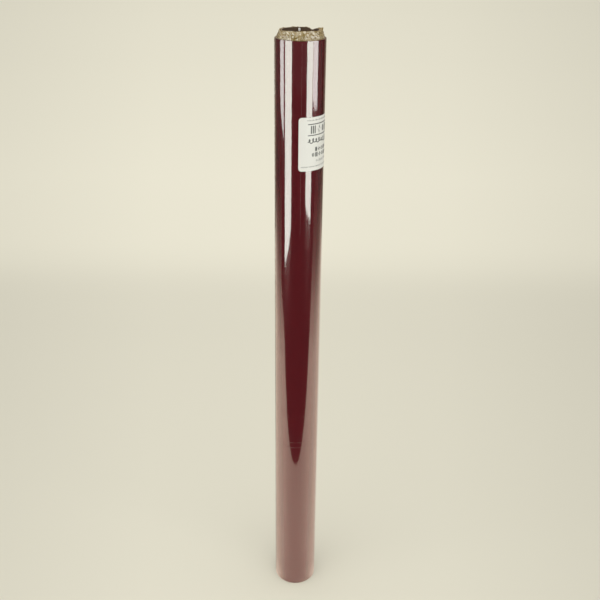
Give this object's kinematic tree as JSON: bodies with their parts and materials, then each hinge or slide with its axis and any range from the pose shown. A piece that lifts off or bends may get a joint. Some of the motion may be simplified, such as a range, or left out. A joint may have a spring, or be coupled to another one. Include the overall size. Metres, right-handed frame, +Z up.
{
  "type": "roll of sign vinyl",
  "caption": "Tall narrow roll of glossy self-adhesive sign vinyl wound face out on a paper core, in a clear shrink sleeve with a wrap-round paper label.",
  "frame": {"origin": "centre of the roll's foot, on the surface it stands on", "axes": "+Z up the roll's axis, -Y towards the side the label's edge faces, +X towards the label"},
  "size_m": [0.0454, 0.0452, 0.6171],
  "materials": {
    "core_liner_paper": "smooth brown kraft",
    "core_board": "grey-brown core board",
    "core_face_paper": "smooth kraft",
    "tape": "clear tape",
    "release_liner": "brown kraft, silicone coated",
    "vinyl": "gloss burgundy",
    "shrink_film": "clear gloss film",
    "label_paper": "semi-gloss white"
  },
  "bodies": {
    "root": {"core_inner_ply": "core_liner_paper", "core_body_ply_inner": "core_board", "core_body_ply_outer": "core_board", "core_outer_ply": "core_face_paper", "core_start_tape": "tape", "release_liner": "release_liner", "vinyl_film": "vinyl", "tail_tab_lower": "tape", "tail_tab_middle": "tape", "tail_tab_upper": "tape", "shrink_sleeve": "shrink_film", "side_seal": "shrink_film", "product_label": "label_paper"}
  },
  "joints": []
}
